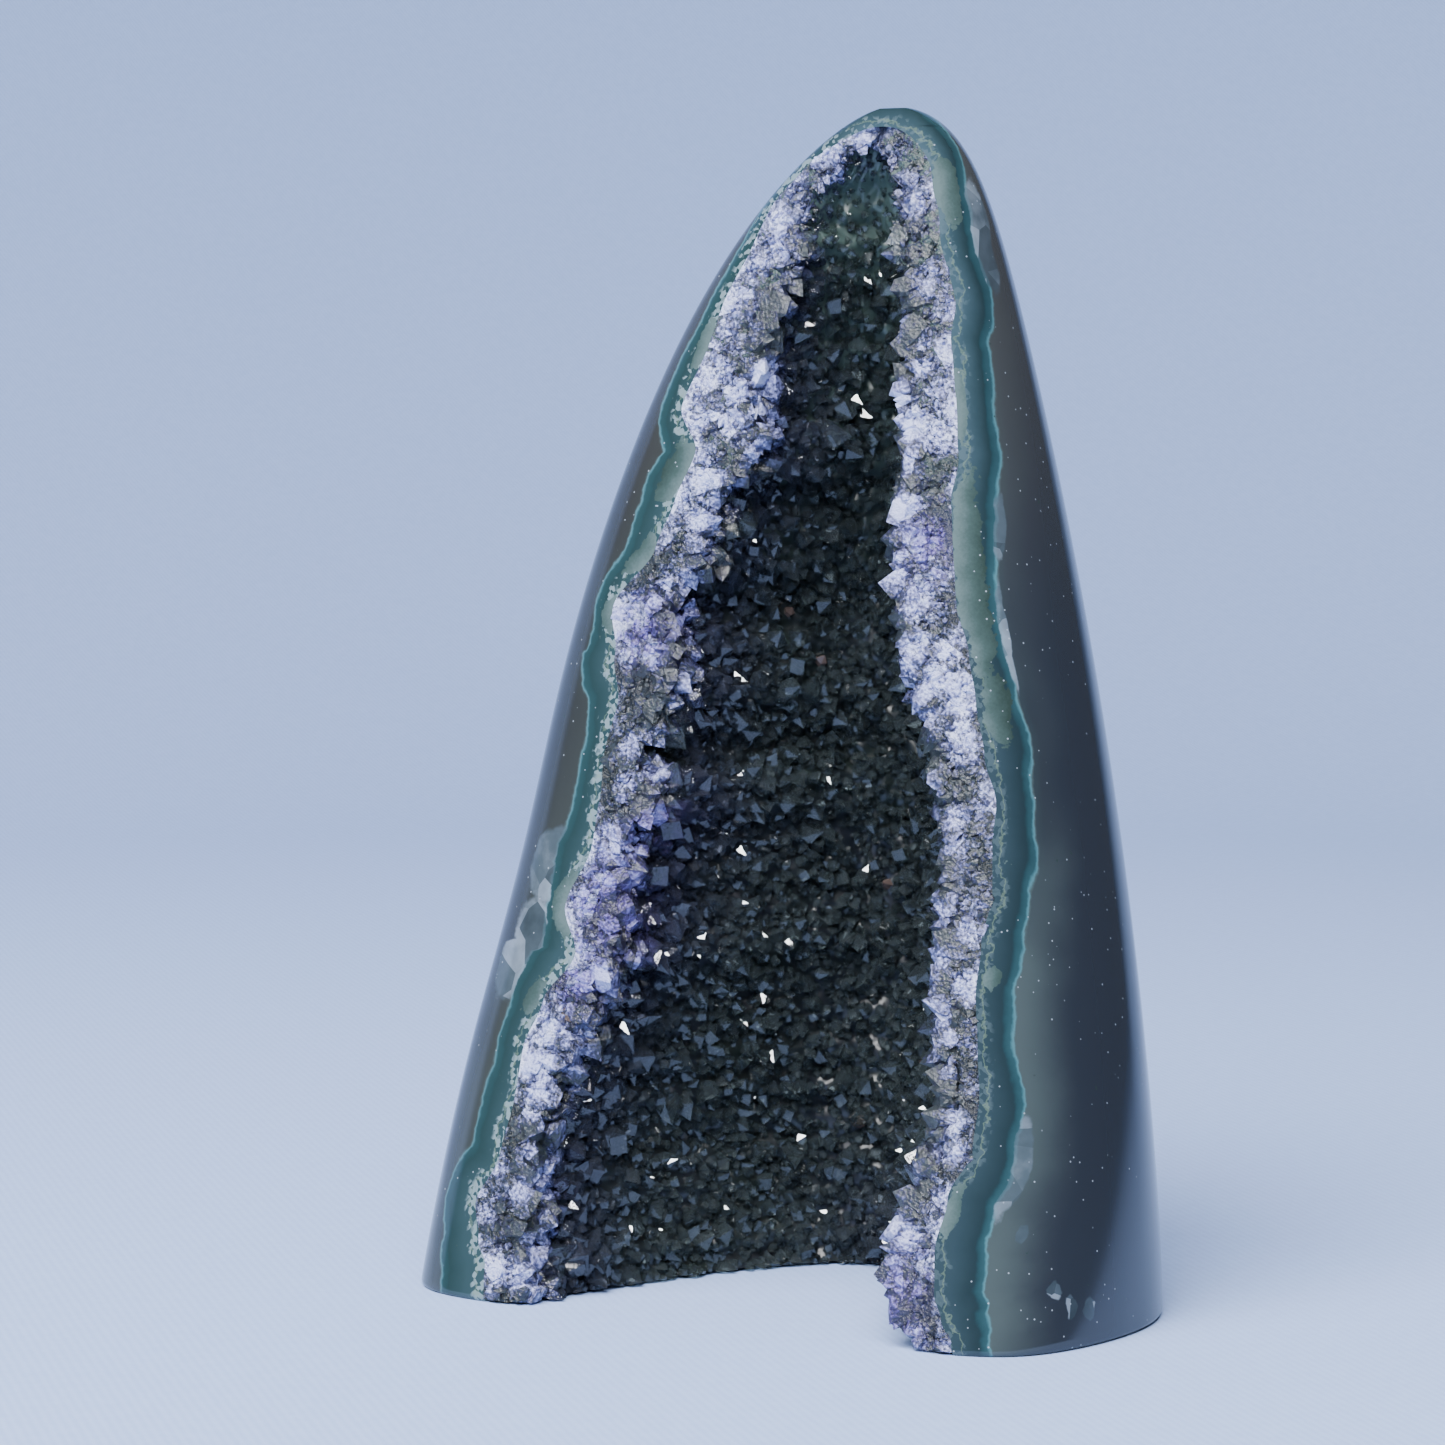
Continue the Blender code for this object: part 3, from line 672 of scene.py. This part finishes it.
def crust_looks(add, place, tone):
    """What all parts of the crust share. How pale a place is: near the ground front it grows with the edge's
    milkiness and each crystal's own tone, and it fades within 4 mm behind the front, with a faint rest to 14.
    Returned with the edge's share, the bump of its sugary grains, and how far violet shows."""
    behind, milk, violet = (
        add("Attribute", attribute_name=name)["Fac"] for name in ("behind_front", "milk", "violet")
    )
    # Noise with features of 4 and 0.28 mm.
    slow, sugar = (
        add("TexNoise", {"Vector": place, "Scale": 1000 / size, "Detail": detail})["Fac"]
        for size, detail in ((4, 2), (0.28, 3))
    )
    high = add("MapRange", (add("SeparateXYZ", (place,))[2], 0.07, 0.095, 0, 2.2), **SMOOTH)[0]
    depth = weighed(add, -1.5, (behind, 1), (slow, 3), (high, 1))
    edge = add("MapRange", (depth, 0.2, 6.0, 1, 0), **SMOOTH)[0]
    # Lumps of 2.4 mm with dark seams between them, each with a milkiness of its own.
    lumps = add("TexVoronoi", {"Vector": place, "Scale": 420})
    lump_tone = add("SeparateColor", (lumps["Color"],))[0]
    seam = add("MapRange", (lumps["Distance"], 0.3, 0.75, 0, 1), **SMOOTH)[0]
    own = weighed(add, -1.72, (milk, 0.6), (tone, 0.55), (sugar, 1.9), (slow, 0.5), (lump_tone, 0.7), (seam, -0.5))
    rest = add("MapRange", (weighed(add, behind, (high, 4)), 1, 15, 0.13, 0), **SMOOTH)[0]
    pale = add("Math", (own, edge, rest), operation="MULTIPLY_ADD", use_clamp=True)[0]
    grains = add("Math", (sugar, edge), operation="MULTIPLY")[0]
    violet_near = add("MapRange", (behind, 0, 7, 1, 0.25), **SMOOTH)[0]
    violet = add("Math", (violet, violet_near), operation="MULTIPLY")[0]
    return pale, edge, grains, violet


def bed_material():
    """Massive amethyst, the grown-together feet of the crystals: milky and pale where it is ground through at
    the front, and dark green-black inside, where the agate behind shows."""
    material, add, place = new_material("massive amethyst")
    # Grains of 0.45 mm.
    cells = add("TexVoronoi", {"Vector": place, "Scale": 2200})
    pale, _, grains, violet = crust_looks(add, place, add("SeparateColor", (cells["Color"],))[0])
    height = add("SeparateXYZ", (place,))[2]
    zones = add("TexNoise", {"Vector": place, "Scale": 1000 / 7, "Detail": 3})["Fac"]
    inside = add("ValToRGB", (zones,), ((0.38, "131c18"), (0.6, "15191f")))[0]
    edge_colours = add("ValToRGB", (pale,), (
        (0.0, "141920"), (0.2, "272a38"), (0.45, "575972"), (0.7, "8e90b0"), (0.95, "ced0e6"),
    ))[0]
    colour = overlaid(add, inside, (
        # Painted light: the bed turns a lighter green towards the top of the hollow, where it is shallow and more light
        # reaches in.
        ("47584f", (height, 0.055, 0.092, 0, 1)),
        (edge_colours, (pale, 0.02, 0.2, 0, 1)),
    ))
    violet = add("Math", (violet, 0.4), operation="MULTIPLY")[0]
    colour = add("Mix", {0: violet, 6: colour, 7: "3a2f58"}, data_type="RGBA")[2]
    bump = add("Bump", {"Height": grains, "Strength": 0.7, "Distance": 0.5 * MM})[0]
    shader = add("BsdfPrincipled", {"Base Color": colour, "IOR": 1.544, "Roughness": 0.35, "Normal": bump})
    add("OutputMaterial", shader)
    return material


def amethyst_material(name, rusty):
    """Amethyst, clear quartz tinted violet, with natural mirror-flat faces. Near the ground front it is milky
    with small cracks and sugary where it was ground, and clear inside. Iron has stained a few copper-brown."""
    material, add, place = new_material(name)
    pale, edge, grains, violet = crust_looks(add, place, add("Attribute", attribute_name="tone")["Fac"])
    colour = add("ValToRGB", (pale,), (
        (0.0, "8f9c9b"), (0.08, "7e8394"), (0.2, "494b5e"), (0.42, "66678b"), (0.66, "9394bf"), (0.95, "cdd0ee"),
    ))[0]
    violet = add("Math", (violet, 0.7), operation="MULTIPLY")[0]
    colour = add("Mix", {0: violet, 6: colour, 7: "8069b6"}, data_type="RGBA")[2]
    clear = add("MapRange", (pale, 0, 0.8, 0.94, 0.15), **SMOOTH)[0]
    rough = add("MapRange", (edge, 0.2, 0.9, 0.04, 0.3), **SMOOTH)[0]
    if rusty:
        stain = add("Attribute", attribute_name="rusty")["Fac"]
        colour = overlaid(add, colour, (("54463f", (stain, 0, 1, 0, 1)),))
        unstained = add("MapRange", (stain, 0, 1, 1, 0))[0]
        clear = add("Math", (clear, unstained), operation="MULTIPLY")[0]
    shader = add("BsdfPrincipled", {
        "Base Color": colour,
        "IOR": 1.544,
        "Specular IOR Level": 0.35,
        "Roughness": rough,
        "Transmission Weight": clear,
        "Normal": add("Bump", {"Height": grains, "Strength": 0.6, "Distance": 0.4 * MM})[0],
    })
    add("OutputMaterial", shader)
    return material


def cloth_floor():
    """A pale blue cloth that lies flat and rises to a wall behind the geode: a profile of radius and height,
    turned about the vertical. The wall spans some 130 degrees, and elsewhere the cloth runs out flat."""
    rise = np.linspace(0, math.pi / 2, 24)[1:]
    curve_out, curve_up = FLAT_RADIUS + WALL_CURVE * np.sin(rise), WALL_CURVE * (1 - np.cos(rise))
    radius = np.concatenate([np.linspace(0, FLAT_RADIUS, 12), curve_out, np.full(6, FLAT_RADIUS + WALL_CURVE)])
    height = np.concatenate([np.zeros(12), curve_up, WALL_CURVE + np.linspace(0.02, 0.5, 6)])
    turn = np.linspace(0, 2 * math.pi, 180, endpoint=False)
    from_middle = np.abs((turn - WALL_MIDDLE + math.pi) % (2 * math.pi) - math.pi)
    walled = np.clip((WALL_HALF_SPAN - from_middle) / WALL_END, 0, 1)
    reach = radius[:, None] + (1 - walled) * np.linspace(0, 1, len(radius))[:, None] ** 4
    points = np.stack([reach * np.cos(turn), reach * np.sin(turn), height[:, None] * walled], -1)
    material, add, place = new_material("pale blue cotton")
    # The twill's slanting ribs are 0.8 mm apart, with unevenness of 1.5 mm.
    ribs = add("TexWave", {"Vector": place, "Scale": 555, "Distortion": 1}, bands_direction="DIAGONAL")["Fac"]
    uneven = add("TexNoise", {"Vector": place, "Scale": 1000 / 1.5, "Detail": 2})["Fac"]
    weave = add("ValToRGB", (weighed(add, -0.25, (ribs, 0.5), (uneven, 1)),), ((0.2, "a8bde4"), (0.8, "b0c5ea")))[0]
    add("OutputMaterial", add("BsdfPrincipled", {"Base Color": weave, "Roughness": 0.9}))
    piece = new_piece("cloth", points, grid_quads(len(radius), len(turn), True).tolist(), material, math.radians(180))
    piece.data.flip_normals()


def softbox(name, place, target, size, watts, colour="ffffff"):
    """A square area light at place that shines at target."""
    lamp = bpy.data.lights.new(name, "AREA")
    lamp.shape = "SQUARE"
    lamp.size = size
    lamp.energy = watts
    lamp.color = linear(colour)[:3]
    holder = bpy.data.objects.new(name, lamp)
    bpy.context.collection.objects.link(holder)
    aim(holder, place, target)
    return holder


def aim(holder, place, target):
    """Puts an object at place with its -Z towards target."""
    way = np.array(target, float) - np.array(place, float)
    way /= np.linalg.norm(way)
    holder.location = place
    holder.rotation_mode = "XYZ"
    holder.rotation_euler = (math.acos(-way[2]), 0, math.atan2(way[1], way[0]) - math.pi / 2)


def studio(crystals_only):
    """Camera, lights and the pale surroundings. The small lights shine on the crystals only, where they glint."""
    camera = bpy.data.cameras.new("camera")
    camera.sensor_width = SENSOR_WIDTH
    camera.lens = SENSOR_WIDTH * FOCAL_SHARE
    camera.clip_start = 0.01
    camera.clip_end = 10
    holder = bpy.data.objects.new("camera", camera)
    bpy.context.collection.objects.link(holder)
    forward = np.array([*(math.cos(CAMERA_PITCH) * np.array(CAMERA_HEADING)), -math.sin(CAMERA_PITCH)])
    aim(holder, CAMERA_PLACE, np.array(CAMERA_PLACE) + forward)
    bpy.context.scene.camera = holder

    world = bpy.data.worlds.new("surroundings")
    world.use_nodes = True
    world.node_tree.nodes["Background"].inputs["Color"].default_value = linear("b2bac6")
    world.node_tree.nodes["Background"].inputs["Strength"].default_value = 0.24
    bpy.context.scene.world = world
    top = softbox("top_light", (0.06, -0.58, 0.70), (0.04, -0.20, 0.0), 0.9, 18.5, "eaf0ff")
    top.visible_glossy = False
    top.data.spread = math.radians(125)
    for number, place in enumerate(GLINT_PLACES):
        glint = softbox(f"glint_{number}", place, (0, 0, 0.05), 0.16, 8.0)
        glint.light_linking.receiver_collection = crystals_only
        glint.visible_diffuse = False
        glint.visible_transmission = False


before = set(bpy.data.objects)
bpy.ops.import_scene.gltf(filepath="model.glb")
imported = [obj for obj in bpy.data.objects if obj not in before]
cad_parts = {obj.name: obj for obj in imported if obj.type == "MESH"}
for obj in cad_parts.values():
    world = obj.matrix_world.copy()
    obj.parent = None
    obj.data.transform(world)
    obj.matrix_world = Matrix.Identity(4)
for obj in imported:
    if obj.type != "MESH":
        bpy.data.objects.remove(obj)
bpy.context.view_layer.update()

wall = agate_wall(polished_agate())
bed = crystal_bed(bed_material())
points = amethyst_points(amethyst_material("amethyst", True))
sugar = edge_sugar(amethyst_material("amethyst sugar", False))
for piece, node, slot in (
    (wall, "agate_wall", "polished_agate"),
    (bed, "crystal_crust", "amethyst_crystal"),
    (points, "crystal_crust", "amethyst_crystal"),
    (sugar, "crystal_crust", "amethyst_crystal"),
):
    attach(piece, "root")
    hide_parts(node)

crystals_only = bpy.data.collections.new("crystals_only")
for piece in (bed, points, sugar):
    crystals_only.objects.link(piece)
cloth_floor()
studio(crystals_only)
